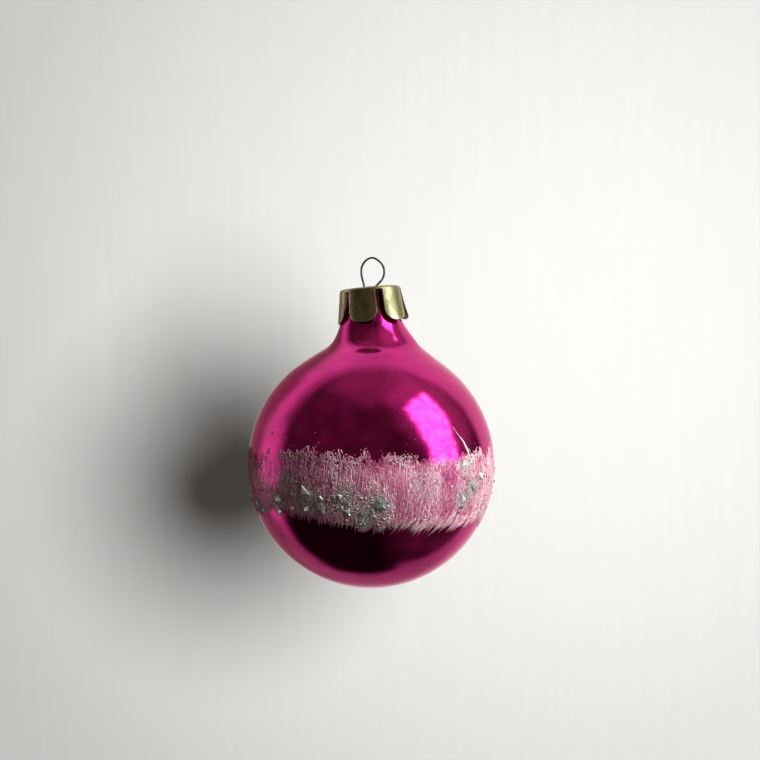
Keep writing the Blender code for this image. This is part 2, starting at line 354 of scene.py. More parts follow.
def lacquer_material():
    """Magenta lacquer over silvering, with the thin paint film of the band brushed on it."""
    material, nodes = new_material("magenta_lacquer")
    way = nodes.unit(nodes.place(offset=-BALL_CENTRE))
    split = nodes.split(way)
    streaks, lift = turned_coordinates(nodes, split, 60.0, 9.0)
    fine_streaks, _ = turned_coordinates(nodes, split, 190.0, 30.0)
    grains, _ = turned_coordinates(nodes, split, 210.0, 120.0)
    glue = glue_mask(nodes, way)
    film = paint_film(nodes, way, lift, streaks, fine_streaks, grains)
    film = nodes.math("MAXIMUM", film, nodes.times(glue, 0.9))
    lacquer = lacquer_colour(nodes, way, streaks)
    paint = paint_colour(nodes, streaks, grains, glue)
    haze = nodes.ramp(nodes.noise(fine_streaks, 2.0, 4.0, 0.7), 0.3, 0.8, 0.06, 0.14)
    relief = nodes.bump(nodes.noise(nodes.place(), 1100.0, 4.0, 0.6), 0.009 * MM)
    relief = nodes.bump(nodes.noise(fine_streaks, 3.0, 6.0, 0.75), 0.010 * MM, 0.5, relief)
    nodes.shade(Base_Color=nodes.mix(film, lacquer, paint),
                Metallic=nodes.ramp(film, 0.0, 0.85, 1.0, 0.04),
                Roughness=nodes.math("ADD", haze, nodes.times(film, 0.42)),
                Coat_Weight=nodes.ramp(film, 0.10, 0.55, 0.65, 0.08), Coat_Roughness=0.05,
                Coat_IOR=1.4, Specular_Tint=(1.0, 0.32, 0.58),
                Normal=nodes.bump(film, 0.10 * MM, 0.6, relief))
    return material


def paint_film(nodes, way, lift, streaks, fine_streaks, grains):
    """How thick the brushed film is, 0 to 1: ragged edges, streaks, grain and worn places."""
    ragged = nodes.math("SUBTRACT", nodes.noise(fine_streaks, 1.0, 4.0, 0.6), 0.5)
    wander = nodes.math("SUBTRACT", nodes.noise(way, 2.5, 2.0), 0.5)
    height = nodes.math("ADD", lift, nodes.times(ragged, 0.18))
    height = nodes.math("ADD", height, nodes.times(wander, 0.08))
    higher = nodes.times(lobe(nodes, way, -42.0, -18.0, 4.0, 24.0), radians(4.0))
    lower = nodes.math("SUBTRACT", height, higher)
    above = nodes.ramp(lower, radians(BAND_BOTTOM - 0.5), radians(BAND_BOTTOM + 2.5))
    below = nodes.ramp(height, radians(BAND_TOP - 5.0), radians(BAND_TOP), 1.0, 0.0)
    band = nodes.times(above, below)
    streak = nodes.ramp(nodes.noise(streaks, 1.0, 6.0, 0.65), 0.32, 0.62, 0.50, 1.0)
    grain = nodes.ramp(nodes.noise(grains, 1.0, 4.0, 0.7), 0.34, 0.56, 0.40, 1.0)
    film = nodes.times(band, nodes.times(streak, grain))
    for *place, strength in WORN_PLACES:
        worn = nodes.times(lobe(nodes, way, *place), strength)
        film = nodes.times(film, nodes.math("SUBTRACT", 1.0, worn))
    return film


def glue_mask(nodes, way):
    """Where glue holds glass dust on the ball, 0 to 1, with uneven edges."""
    stirred = nodes.unit(nodes.stir(way, 14.0, 0.16))
    mask = 0.0
    for longitude, latitude, spread_lon, spread_lat, _ in GLUE_PATCHES:
        reach = (spread_lon + spread_lat) * 0.75
        mask = nodes.math("MAXIMUM", lobe(nodes, stirred, longitude, latitude, reach * 0.3, reach), mask)
    return nodes.times(mask, 0.8)


def pinholes(nodes, way):
    """Tiny holes in the lacquer that show the silver."""
    cell = nodes.add("TexVoronoi", Vector=nodes.place(), Scale=420.0)
    hole = nodes.ramp(cell.outputs["Distance"], 0.05, 0.10, 0.8, 0.0)
    return nodes.times(hole, nodes.ramp(nodes.noise(way, 30.0, 1.0), 0.60, 0.66))


def dark_blots(nodes, way):
    """Small dark blots of failed silvering: a plain one on the left and a few faint ones."""
    stirred = nodes.unit(nodes.stir(way, 60.0, 0.008))
    plain = lobe(nodes, stirred, -52.0, 17.0, 0.5, 1.2)
    cell = nodes.add("TexVoronoi", Vector=nodes.stir(way, 25.0, 0.05), Scale=9.0)
    faint = nodes.ramp(cell.outputs["Distance"], 0.04, 0.11, 0.5, 0.0)
    keep = nodes.ramp(nodes.noise(way, 6.0, 1.0), 0.55, 0.60)
    return nodes.math("MAXIMUM", plain, nodes.times(faint, keep))


def bare_rim(nodes, streaks):
    """1 at the neck's rim, which the lacquer never reached."""
    up = nodes.split(nodes.place(offset=(0.0, 0.0, -(BALL_CENTRE.z + RIM_HEIGHT))))[2]
    uneven = nodes.times(nodes.noise(streaks, 2.0, 3.0), 0.5 * MM)
    return nodes.ramp(nodes.math("ADD", up, uneven), 0.1 * MM, 0.6 * MM)


def silvering_material():
    """Bright silver film on the inside of the glass, with a few tarnish clouds."""
    material, nodes = new_material("inner_silvering")
    cloud = nodes.ramp(nodes.noise(nodes.place(), 160.0, 4.0), 0.5, 0.75)
    nodes.shade(Base_Color=nodes.mix(cloud, (0.80, 0.79, 0.77), (0.45, 0.38, 0.30)), Metallic=1.0,
                Roughness=nodes.math("ADD", nodes.times(cloud, 0.25), 0.12))
    return material


def rim_material():
    """Cut glass edge of the neck."""
    material, nodes = new_material("cut_glass_edge")
    grain = nodes.noise(nodes.place(), 2500.0, 3.0)
    nodes.shade(Base_Color=nodes.mix(grain, (0.50, 0.56, 0.54), (0.80, 0.84, 0.82)),
                Roughness=nodes.ramp(grain, 0.2, 0.8, 0.15, 0.45),
                Normal=nodes.bump(grain, 0.05 * MM, 0.5))
    return material


def stroke_material():
    """Dried paint: pale pink ridges, greyer where glue and glass dust are mixed in."""
    material, nodes = new_material("dried_band_paint")
    pale, grey = nodes.tone()
    speckle = nodes.noise(nodes.place(), 3200.0, 3.0)
    body = nodes.mix(pale, (0.44, 0.070, 0.185), (0.84, 0.58, 0.63))
    chalky = nodes.ramp(speckle, 0.5, 0.8, 0.0, 0.35)
    body = nodes.mix(chalky, body, (0.88, 0.76, 0.77))
    nodes.shade(Base_Color=nodes.mix(grey, body, (0.47, 0.48, 0.46)), Specular_IOR_Level=0.35,
                Roughness=nodes.ramp(speckle, 0.3, 0.7, 0.5, 0.75),
                Normal=nodes.bump(speckle, 0.06 * MM, 0.6))
    return material


def glass_grit_material():
    """Crushed silvered glass, some bits bright, some tarnished dark."""
    material, nodes = new_material("crushed_silvered_glass")
    bright, silvered = nodes.tone()
    clouded = nodes.noise(nodes.place(), 1800.0, 3.0)
    nodes.shade(Base_Color=nodes.mix(bright, (0.14, 0.16, 0.15), (0.84, 0.87, 0.84)),
                Metallic=silvered, Roughness=nodes.ramp(clouded, 0.35, 0.75, 0.08, 0.38),
                Coat_Weight=0.6, Coat_Roughness=0.04)
    return material


def cap_material():
    """Olive brass-lacquered sheet: satin, with tarnish, fine rolling lines and worn bright edges."""
    material, nodes = new_material("olive_brass")
    tarnish = nodes.ramp(nodes.noise(nodes.place(), 420.0, 5.0, 0.6, 0.8), 0.38, 0.68)
    rolled = nodes.noise(nodes.place(scale=(1.0, 1.0, 0.06)), 5200.0, 2.0)
    body = nodes.mix(tarnish, (0.48, 0.415, 0.20), (0.28, 0.235, 0.095))
    lines = nodes.ramp(rolled, 0.4, 0.7, 0.0, 0.20)
    body = nodes.mix(lines, body, (0.58, 0.53, 0.33))
    edge = nodes.add("NewGeometry").outputs["Pointiness"]
    worn = nodes.ramp(edge, 0.53, 0.60, 0.0, 0.45)
    nodes.shade(Base_Color=nodes.mix(worn, body, (0.80, 0.66, 0.48)), Metallic=1.0,
                Roughness=nodes.ramp(tarnish, 0.0, 1.0, 0.30, 0.42), Coat_Weight=0.35,
                Coat_Roughness=0.25, Normal=nodes.bump(rolled, 0.01 * MM, 0.25))
    return material


def wire_material():
    """Dark drawn steel wire with a little rust."""
    material, nodes = new_material("dark_drawn_steel")
    rust = nodes.ramp(nodes.noise(nodes.place(), 900.0, 4.0), 0.52, 0.72)
    nodes.shade(Base_Color=nodes.mix(rust, (0.13, 0.13, 0.12), (0.10, 0.065, 0.04)), Metallic=0.9,
                Roughness=nodes.ramp(rust, 0.0, 1.0, 0.32, 0.6))
    return material


# ---- glass ball

def ball_outline():
    """Section of the wall in (radius, height): outside, the rim's middle, inside, both from below."""
    outside = []
    for ring in range(SPHERE_RINGS + 1):
        latitude = radians(-90.0 + (SHOULDER_LATITUDE + 90.0) * ring / SPHERE_RINGS)
        outside.append(Vector((BALL_RADIUS * cos(latitude), BALL_RADIUS * sin(latitude))))
    route = [outside[-1]] + [Vector(place) * MM for place in NECK_ROUTE]
    outside += smooth_route(route, NECK_RINGS_PER_STEP)[1:]
    outside[-1].y = RIM_HEIGHT
    inside = []
    for number in range(0, len(outside), 2):
        before = outside[max(number - 1, 0)]
        after = outside[min(number + 1, len(outside) - 1)]
        slope = (after - before).normalized()
        inside.append(outside[number] + Vector((-slope.y, slope.x)) * GLASS_WALL)
    inside[0].x = 0.0
    inside[-1].y = outside[-1].y
    rim_middle = (outside[-1] + inside[-1]) / 2 + Vector((0.0, 0.12 * MM))
    outside[-1].y -= 0.1 * MM
    inside[-1].y -= 0.1 * MM
    return outside, rim_middle, inside


def blown_unevenness(place):
    """Small outward waves of hand-blown glass, stronger on the shoulder and neck."""
    up = place.z - BALL_CENTRE.z
    slow = noise.noise(place * 75.0) * 0.035 * MM
    neck_share = min(max((up - 17.0 * MM) / (6.0 * MM), 0.0), 1.0)
    ripple = noise.noise(place * 230.0 + Vector((5.0, 1.0, 3.0))) * 0.013 * MM
    return slow + ripple * neck_share


def faces_between(lower, upper):
    """Faces from one ring to the next; either of them may be a single vertex on the axis."""
    faces = []
    steps = max(len(lower), len(upper))
    for step in range(steps):
        after = (step + 1) % steps
        if len(lower) == 1:
            faces.append((lower[0], upper[after], upper[step]))
        elif len(upper) == 1:
            faces.append((lower[step], lower[after], upper[0]))
        else:
            faces.append((lower[step], lower[after], upper[after], upper[step]))
    return faces


def wall_place(radius, height, angle, uneven):
    """Place on the ball's wall, which is pushed sideways where the neck swells."""
    flat = Vector((cos(angle), sin(angle), 0.0)) * radius
    shift = SWELL_SIZE * exp(-((height - SWELL_HEIGHT) / SWELL_SPREAD) ** 2)
    place = flat + Vector((shift, 0.0, BALL_CENTRE.z + height))
    if uneven:
        outward = (flat + Vector((0.0, 0.0, height))).normalized()
        place += outward * blown_unevenness(place)
    return place


def build_ball():
    """The whole wall as one closed surface: lacquer outside, cut rim, silvering inside."""
    outside, rim_middle, inside = ball_outline()
    outline = outside + [rim_middle] + inside[::-1]
    parts = [0] * (len(outside) - 1) + [2, 2] + [1] * (len(inside) - 1)
    vertices = []
    rings = []
    for number, (radius, height) in enumerate(outline):
        steps = TURN_STEPS if radius > ON_AXIS else 1
        uneven = number < len(outside) and steps > 1
        rings.append(range(len(vertices), len(vertices) + steps))
        for step in range(steps):
            vertices.append(wall_place(radius, height, 2 * pi * step / TURN_STEPS, uneven))
    faces = []
    face_parts = []
    for part, lower, upper in zip(parts, rings, rings[1:]):
        faces += faces_between(lower, upper)
        face_parts += [part] * TURN_STEPS
    materials = [lacquer_material(), silvering_material(), rim_material()]
    shell = mesh_object("glass_ball_shell", vertices, faces, materials)
    shell.data.polygons.foreach_set("material_index", face_parts)
    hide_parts("glass_ball")
    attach(shell, "ball")
    return shell


# ---- painted band

def band_top(longitude):
    """Latitude of the band's upper edge at a longitude."""
    way = around_axis(longitude, 0.3)
    level = BAND_TOP + cos(2 * radians(longitude))
    return level + 1.8 * noise.noise(way * 3.1) + 4.5 * noise.noise(way * 15.0)


def band_bottom(longitude):
    """Latitude of the band's lower edge at a longitude."""
    way = around_axis(longitude, 7.3)
    higher = 4.0 * exp(-((longitude + 42.0) / 16.0) ** 2)
    uneven = 2.0 * noise.noise(way * 3.7) + 2.4 * noise.noise(way * 17.0)
    return BAND_BOTTOM - 2.4 * sin(radians(longitude)) + higher + uneven


def glue_share(longitude, latitude):
    """How much glue and glass dust there is at a place, 0 to 1."""
    share = 0.0
    for lon, lat, spread_lon, spread_lat, _ in GREY_PATCHES:
        apart = (longitude - lon + 180.0) % 360.0 - 180.0
        share += exp(-(apart / spread_lon) ** 2 - ((latitude - lat) / spread_lat) ** 2)
    return min(share, 1.0)


class Heap:
    """Collects many small closed shapes that become one mesh, each shape with its own tone."""

    def __init__(self):
        self.vertices = []
        self.faces = []
        self.tones = []

    def add_splinter(self, matrix, length, thickness, corners, tone, rng):
        """Flat-bottomed broken bit of glass with uneven facets."""
        start = len(self.vertices)
        lower = []
        upper = []
        for number in range(corners):
            angle = 2 * pi * (number + rng.uniform(-0.3, 0.3)) / corners
            reach = length / 2 * rng.uniform(0.65, 1.0)
            shrink = rng.uniform(0.30, 0.92)
            rise = thickness * rng.uniform(0.5, 1.0)
            lower.append(Vector((cos(angle) * reach, sin(angle) * reach, 0.0)))
            upper.append(Vector((lower[-1].x * shrink, lower[-1].y * shrink, rise)))
        middle = sum(upper, Vector()) / corners
        middle.z += thickness * rng.uniform(-0.05, 0.25)
        self.vertices += [matrix @ place for place in lower + upper + [middle]]
        self.tones += [(*tone, 0.0, 1.0)] * (2 * corners + 1)
        for number in range(corners):
            a = start + number
            b = start + (number + 1) % corners
            self.faces += [(a, b, b + corners), (a, b + corners, a + corners),
                           (a + corners, b + corners, start + 2 * corners)]
        self.faces.append(tuple(start + corners - 1 - number for number in range(corners)))

    def add_ridge(self, route, width, height, pale, grey):
        """Stroke of paint that tapers at both ends, along (longitude, latitude); sizes in mm."""
        count = len(route)
        centres = [BALL_CENTRE + direction(lon, lat) * BALL_RADIUS for lon, lat in route]
        start = len(self.vertices)
        for number, centre in enumerate(centres):
            out = (centre - BALL_CENTRE).normalized()
            along = centres[min(number + 1, count - 1)] - centres[max(number - 1, 0)]
            side = along.cross(out).normalized()
            share = number / (count - 1)
            taper = sin(pi * min(max(share, 0.03), 0.97)) ** 0.7
            half = width * MM / 2 * taper
            foot = BALL_CENTRE + out * (BALL_RADIUS - 0.03 * MM)
            top = centre + out * (height * MM * taper + 0.012 * MM)
            self.vertices += [foot - side * half, top, foot + side * half]
            self.tones += [(pale, grey, 0.0, 1.0)] * 3
        for number in range(count - 1):
            a = start + 3 * number
            b = a + 3
            self.faces += [(a, a + 1, b + 1, b), (a + 1, a + 2, b + 2, b + 1), (a + 2, a, b, b + 2)]
        end = start + 3 * (count - 1)
        self.faces += [(start, start + 2, start + 1), (end, end + 1, end + 2)]

    def build(self, name, material, smooth):
        piece = mesh_object(name, self.vertices, self.faces, [material], smooth)
        colours = piece.data.color_attributes.new("tone", "FLOAT_COLOR", "POINT")
        colours.data.foreach_set("color", [part for tone in self.tones for part in tone])
        return piece


def lean_at(longitude, latitude):
    """Brush direction: degrees of longitude gained per degree of latitude."""
    lon = radians(longitude)
    slow = noise.noise(Vector((sin(lon) * 2.2, cos(lon) * 2.2, latitude * 0.05)))
    right = exp(-((longitude - 40.0) / 22.0) ** 2) * max(0.0, (-10.0 - latitude) / 14.0)
    return 0.10 + 0.30 * slow + 0.75 * right


def stroke_route(longitude, start, end, steps, wobble, rng):
    """Route along the brush direction from one latitude to another."""
    lon = longitude
    step_size = (end - start) / steps
    route = [(lon, start)]
    for step in range(steps):
        latitude = start + step_size * step
        lon += lean_at(lon, latitude) * step_size + rng.uniform(-wobble, wobble)
        route.append((lon, start + step_size * (step + 1)))
    return route


def worn_share(longitude, latitude):
    """Share of the paint that is missing at a place: thin on the left and at the upper right."""
    left = 0.9 * exp(-((longitude + 48.0) / 11.0) ** 2) / (1.0 + exp(-(latitude + 4.0)))
    right = 0.6 * exp(-((longitude - 31.0) / 9.0) ** 2 - ((latitude - 9.0) / 7.0) ** 2)
    return min(left + right, 1.0)


def tone_at(longitude, latitude, rng):
    """Paleness of the paint at a place: broad upright streaks with a little scatter, a rosier streak,
    and paler paint on the right side, where the window lamp falls, as painted light.
    """
    round_ball = around_axis(longitude, 0.0)
    broad = noise.noise(round_ball * 9.0 + Vector((0.0, 0.0, latitude * 0.05)))
    fine = noise.noise(round_ball * 42.0 + Vector((0.0, 0.0, 3.0 + latitude * 0.13)))
    # Painted light: the paint is made paler on the right side, towards the window lamp
    right = 0.22 / (1.0 + exp((30.0 - longitude) / 5.0))
    rosy = 0.28 * exp(-((longitude - 14.0) / 9.0) ** 2)
    return min(max(0.52 + right - rosy + 1.0 * broad + 0.7 * fine + rng.gauss(0.0, 0.16), 0.0), 1.1)


def spread_strokes(heap, count, lengths, steps, widths, heights, wobble, rng):
    """Strokes laid along the brush direction all over the band, fewer where it is worn."""
    for _ in range(count):
        lon = rng.uniform(-180.0, 180.0)
        bottom = band_bottom(lon) + rng.gauss(0.0, 0.9)
        top = band_top(lon) + rng.gauss(-1.0, 1.6)
        start = rng.uniform(bottom, top - 1.0)
        end = min(top, start + rng.uniform(*lengths))
        middle = (start + end) / 2
        if rng.random() < worn_share(lon, middle):
            continue
        grey = glue_share(lon, middle) * rng.uniform(0.4, 1.1)
        heap.add_ridge(stroke_route(lon, start, end, steps, wobble, rng), rng.uniform(*widths),
                       rng.uniform(*heights), tone_at(lon, middle, rng), min(grey, 0.9))


def lay_lashes(heap, rng):
    """Thin strokes that run down out of the lower edge like eyelashes, and slanted ones on the right."""
    for _ in range(LASHES):
        lon = rng.uniform(-180.0, 180.0)
        edge = band_bottom(lon)
        reach = abs(rng.gauss(0.0, 1.8)) + 0.4
        route = stroke_route(lon, edge + rng.uniform(0.5, 4.0), edge - reach, 5, 0.10, rng)
        heap.add_ridge(route, rng.uniform(0.08, 0.20), rng.uniform(0.03, 0.08),
                       rng.uniform(0.3, 1.0), 0.4 * glue_share(lon, edge))
    for _ in range(SLANTED_LASHES):
        lon = rng.uniform(8.0, 62.0)
        start = band_bottom(lon) + rng.uniform(1.0, 5.0)
        lean = rng.uniform(0.5, 1.1)
        reach = rng.uniform(2.0, 6.0)
        route = [(lon - lean * reach * n / 5, start - reach * n / 5) for n in range(6)]
        heap.add_ridge(route, rng.uniform(0.08, 0.15), rng.uniform(0.03, 0.07),
                       rng.uniform(0.6, 1.1), 0.0)


def lay_curls(heap, rng):
    """Wriggling tips of half-dry paint that stand up out of the upper edge in tufts."""
    for _ in range(CURLS):
        lon = rng.uniform(-180.0, 180.0)
        lat = band_top(lon) + rng.gauss(-2.0, 1.4)
        if rng.random() < worn_share(lon, lat) * 0.9:
            continue
        heading = rng.gauss(pi / 2, 0.45)
        length = rng.uniform(0.20, 0.62)
        width = rng.uniform(0.12, 0.34)
        route = [(lon, lat)]
        for _ in range(6):
            lon += cos(heading) * length
            lat += sin(heading) * length
            heading += rng.uniform(-1.0, 1.0)
            route.append((lon, lat))
        heap.add_ridge(route, width, rng.uniform(0.05, 0.12), tone_at(lon, lat, rng), 0.0)


def lay_crumbs(heap, rng):
    """Short crumbs of paint over the whole band, in any direction but mostly upright."""
    for _ in range(CRUMBS):
        lon = rng.uniform(-180.0, 180.0)
        lat = rng.uniform(band_bottom(lon), band_top(lon) + 1.5)
        if rng.random() < worn_share(lon, lat):
            continue
        heading = rng.gauss(pi / 2, 0.6)
        length = rng.uniform(0.5, 1.5)
        far = (lon + cos(heading) * length, lat + sin(heading) * length)
        near = ((lon + far[0]) / 2 + rng.uniform(-0.2, 0.2), (lat + far[1]) / 2)
        grey = glue_share(lon, lat) * rng.uniform(0.5, 1.2)
        heap.add_ridge([(lon, lat), near, far], rng.uniform(0.16, 0.40),
                       rng.uniform(0.04, 0.11), tone_at(lon, lat, rng), min(grey, 0.95))


def lay_drips(heap, rng):
    """Stray dots above the band, and one run of paint on the right."""
    for _ in range(DOTS):
        lon = rng.uniform(-180.0, 180.0)
        lat = band_top(lon) + abs(rng.gauss(1.0, 3.0))
        heap.add_ridge([(lon, lat), (lon + 0.1, lat + 0.25), (lon + 0.15, lat + 0.5)],
                       rng.uniform(0.08, 0.18), 0.04, 0.9, 0.0)
    run = [(41.5, 20.5), (42.6, 18.6), (43.5, 17.0), (45.0, 15.0), (46.6, 13.0), (48.0, 11.0)]
    heap.add_ridge(run, 0.26, 0.08, 1.5, 0.0)
    blob = [(45.0, 16.0), (46.6, 13.0), (48.0, 10.0), (49.0, 7.4), (49.6, 4.0)]
    heap.add_ridge(blob, 0.85, 0.14, 1.4, 0.0)


def build_paint():
    """The band's raised paint: long strokes and lashes in one piece, crumbs and curls in another."""
    rng = random.Random(5)
    material = stroke_material()
    strokes = Heap()
    spread_strokes(strokes, LONG_STROKES, (3.0, 12.0), 7, (0.14, 0.34), (0.02, 0.06), 0.16, rng)
    spread_strokes(strokes, SHORT_STROKES, (1.0, 3.6), 3, (0.14, 0.36), (0.02, 0.07), 0.24, rng)
    lay_lashes(strokes, rng)
    crumbs = Heap()
    lay_crumbs(crumbs, rng)
    lay_curls(crumbs, rng)
    lay_drips(crumbs, rng)
    made = [strokes.build("paint_strokes", material, True), crumbs.build("paint_crumbs", material, True)]
    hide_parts("paint_band")
    for piece in made:
        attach(piece, "ball")
    return made


# ---- glass chips and grit

def stand_on_ball(longitude, latitude, lift, spin, tilt):
    """Matrix for a flat piece on the ball, its local Z axis pointing outward."""
    lean = Matrix.Rotation(radians(longitude), 4, "Z")
    lean = lean @ Matrix.Rotation(radians(90.0 - latitude), 4, "X")
    lean = Matrix.Translation(BALL_CENTRE) @ lean @ Matrix.Translation((0.0, 0.0, BALL_RADIUS + lift))
    return lean @ Matrix.Rotation(spin, 4, "Z") @ Matrix.Rotation(tilt, 4, "X")


def direction_of(place):
    """Longitude and latitude of a place, seen from the ball's centre, in degrees."""
    out = (place - BALL_CENTRE).normalized()
    return degrees(atan2(out.x, -out.y)), degrees(asin(out.z))


def build_chips(material):
    """Each CAD chip gets a splinter of broken glass of about its size, bedded in the paint."""
    chips = []
    names = sorted(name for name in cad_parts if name.startswith("glass_chip_"))
    for name in names:
        rng = random.Random(name)
        low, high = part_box(name)
        longitude, latitude = direction_of((low + high) / 2)
        matrix = stand_on_ball(longitude, latitude, 0.04 * MM, rng.uniform(0.0, 2 * pi),
                               rng.uniform(-0.2, 0.2))
        tone = (rng.uniform(0.6, 1.1), rng.choice((0.0, 0.25, 0.6)))
        thickness = rng.uniform(0.35, 0.55) * MM
        corners = rng.randint(3, 5)
        if abs(longitude) < DARK_FRONT_REACH:
            tone = (0.22, 0.5)
            corners = 8
        heap = Heap()
        heap.add_splinter(matrix, (high - low).length * 0.88, thickness, corners, tone, rng)
        piece = heap.build("shard_" + name[-2:], material, False)
        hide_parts(name)
        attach(piece, "ball")
        chips.append(piece)
    return chips


def build_grit(material):
    """Glass dust: small splinters in the glue patches, and a few loose over the band."""
    rng = random.Random(9)
    spots = []
    for lon, lat, spread_lon, spread_lat, count in GLUE_PATCHES:
        for _ in range(count):
            spots.append((rng.gauss(lon, spread_lon * 0.75), rng.gauss(lat, spread_lat * 0.75)))
    for _ in range(LOOSE_GRAINS):
        lon = rng.uniform(-180.0, 180.0)
        spots.append((lon, rng.uniform(band_bottom(lon), band_top(lon))))
    heap = Heap()
    for lon, lat in spots:
        if not band_bottom(lon) - 1.0 < lat < band_top(lon) + 0.5:
            continue
        size = min(0.12 + rng.expovariate(8.0), 0.7) * MM
        matrix = stand_on_ball(lon, lat, rng.uniform(0.02, 0.10) * MM, rng.uniform(0.0, 2 * pi),
                               rng.uniform(-0.6, 0.6))
        tone = (rng.uniform(0.1, 1.0) ** 0.8, rng.choice((0.1, 0.4, 0.8)))
        heap.add_splinter(matrix, size, size * rng.uniform(0.25, 0.55), rng.randint(3, 5), tone, rng)
    for lon, lat, size in ((45.5, -15.0, 1.3), (44.0, -17.5, 0.5)):
        matrix = stand_on_ball(lon, lat, 0.1 * MM, 1.0, 0.0)
        heap.add_splinter(matrix, size * MM, 0.2 * MM, 5, (-0.1, 0.0), rng)
    piece = heap.build("glass_grit", material, False)
    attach(piece, "ball")
    return piece


# ---- cap

def cap_surface(longitude, bend_share, drop, flare):
    """Place on the sheet's outer face: bend_share leads round the bend, drop down a petal."""
    bend = bend_share * radians(90.0 - flare)
    radius = CAP_FLAT_RADIUS + CAP_BEND_RADIUS * sin(bend)
    height = -CAP_BEND_RADIUS + CAP_BEND_RADIUS * cos(bend)
    radius += drop * sin(radians(flare))
    height -= drop * cos(radians(flare))
    lon = radians(longitude)
    return Vector((radius * sin(lon), -radius * cos(lon), height))


def cap_columns():
    """Angles of the cap's columns as (longitude, petal or None, place across)."""
    columns = []
    for number, (middle, half, _, _) in enumerate(PETALS):
        for column in range(PETAL_COLUMNS + 1):
            across = -1.0 + 2.0 * column / PETAL_COLUMNS
            columns.append((middle + across * half, number, across))
        next_middle, next_half = PETALS[(number + 1) % len(PETALS)][:2]
        gap = (next_middle - next_half - middle - half) % 360.0
        for column in range(1, GAP_COLUMNS):
            columns.append((middle + half + gap * column / GAP_COLUMNS, None, 0.0))
    return columns


def petal_drop(across):
    """Length of a petal below the bend at a place across it."""
    return PETAL_LENGTH - PETAL_ROUNDING * (1.0 - sqrt(1.0 - abs(across) ** 2.4))


def cap_plate(shape, columns):
    """Slightly domed disc and the bend round it; returns the lowest ring of vertices."""
    centre = shape.verts.new((0.0, 0.0, CAP_DOME))
    rows = []
    for share in PLATE_ROWS:
        ring = []
        for longitude, _, _ in columns:
            out = around_axis(longitude, 0.0)
            waves = 0.02 * MM * noise.noise(out * share * 3.0)
            dome = CAP_DOME * cos(share * pi / 2)
            reach = share * CAP_FLAT_RADIUS
            ring.append(shape.verts.new((reach * out.x, -reach * out.y, dome + waves)))
        rows.append(ring)
    for row in range(BEND_ROWS + 1):
        ring = []
        for longitude, petal, _ in columns:
            flare = PETAL_FLARE + (PETALS[petal][2] if petal is not None else 0.0)
            ring.append(shape.verts.new(cap_surface(longitude, row / BEND_ROWS, 0.0, flare)))
        rows.append(ring)
    for inner, outer in zip([[centre]] + rows, rows):
        for face in faces_between(inner, outer):
            shape.faces.new(face)
    return rows[-1]


def petal_place(longitude, petal, across, share_down):
    """Place on a petal, which flares, twists, curls in at its sides and is a little dented."""
    _, _, extra, twist = PETALS[petal]
    drop = petal_drop(across) * share_down
    share = drop / PETAL_LENGTH
    flare = PETAL_FLARE + extra + twist * across * share * TWIST_FLARE
    place = cap_surface(longitude, 1.0, drop, flare)
    out = Vector((place.x, place.y, 0.0)).normalized()
    dent = noise.noise(place * 190.0 + Vector((petal * 3.7, 0.0, 0.0))) * DENT_DEPTH * share
    return place + out * (dent - PETAL_CURL * across * across * share)


def cap_petals(shape, columns, previous):
    """Rows of faces that hang the petals from the plate's lowest ring."""
    for row in range(1, PETAL_ROWS + 1):
        current = [None] * len(columns)
        for column, (longitude, petal, across) in enumerate(columns):
            if petal is not None:
                place = petal_place(longitude, petal, across, row / PETAL_ROWS)
                current[column] = shape.verts.new(place)
        for column in range(len(columns) - 1):
            after = column + 1
            if current[column] is not None and current[after] is not None:
                shape.faces.new((previous[column], current[column], current[after], previous[after]))
        previous = current


def build_cap():
    """Stamped sheet: disc, bent edge and six petals, each a little out of true."""
    columns = cap_columns()
    shape = bmesh.new()
    cap_petals(shape, columns, cap_plate(shape, columns))
    bmesh.ops.recalc_face_normals(shape, faces=shape.faces)
    cap = finished_shape(shape, "stamped_cap")
    cap.data.materials.append(cap_material())
    sheet = cap.modifiers.new("sheet", "SOLIDIFY")
    sheet.thickness = CAP_SHEET
    sheet.offset = -1.0
    sheet.use_even_offset = True
    for side in (-1.0, 1.0):
        add_wire_hole(cap, side * HOLE_SPACING / 2)
    bevel = cap.modifiers.new("worn edges", "BEVEL")
    bevel.width = 0.05 * MM
    bevel.segments = 2
    bevel.limit_method = "ANGLE"
    bevel.angle_limit = radians(50.0)
    apply_modifiers(cap)
    cap.data.shade_smooth()
    cap.data.set_sharp_from_angle(angle=radians(40.0))
    cap.location = (CAP_OFFSET_X, 0.0, CAP_TOP_Z)
    cap.rotation_euler = (0.0, -CAP_TILT, 0.0)
    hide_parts("cap")
    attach(cap, "cap")
    return cap


def add_wire_hole(cap, offset_x):
    """Drill one wire hole with a cylinder that is removed afterwards."""
    shape = bmesh.new()
    bmesh.ops.create_cone(shape, cap_ends=True, segments=28, radius1=HOLE_RADIUS, radius2=HOLE_RADIUS,
                          depth=3.0 * MM, matrix=Matrix.Translation((offset_x, 0.0, 0.0)))
    drill = cap.modifiers.new("hole", "BOOLEAN")
    drill.operation = "DIFFERENCE"
    drill.object = finished_shape(shape, "hole_cutter")


def apply_modifiers(piece):
    """Replace a piece's mesh by its evaluated one, and remove its cutters."""
    cutters = [m.object for m in piece.modifiers if m.type == "BOOLEAN"]
    bpy.context.view_layer.update()
    graph = bpy.context.evaluated_depsgraph_get()
    finished = bpy.data.meshes.new_from_object(piece.evaluated_get(graph))
    piece.modifiers.clear()
    piece.data = finished
    for cutter in cutters:
        bpy.data.objects.remove(cutter, do_unlink=True)


# ---- hanger

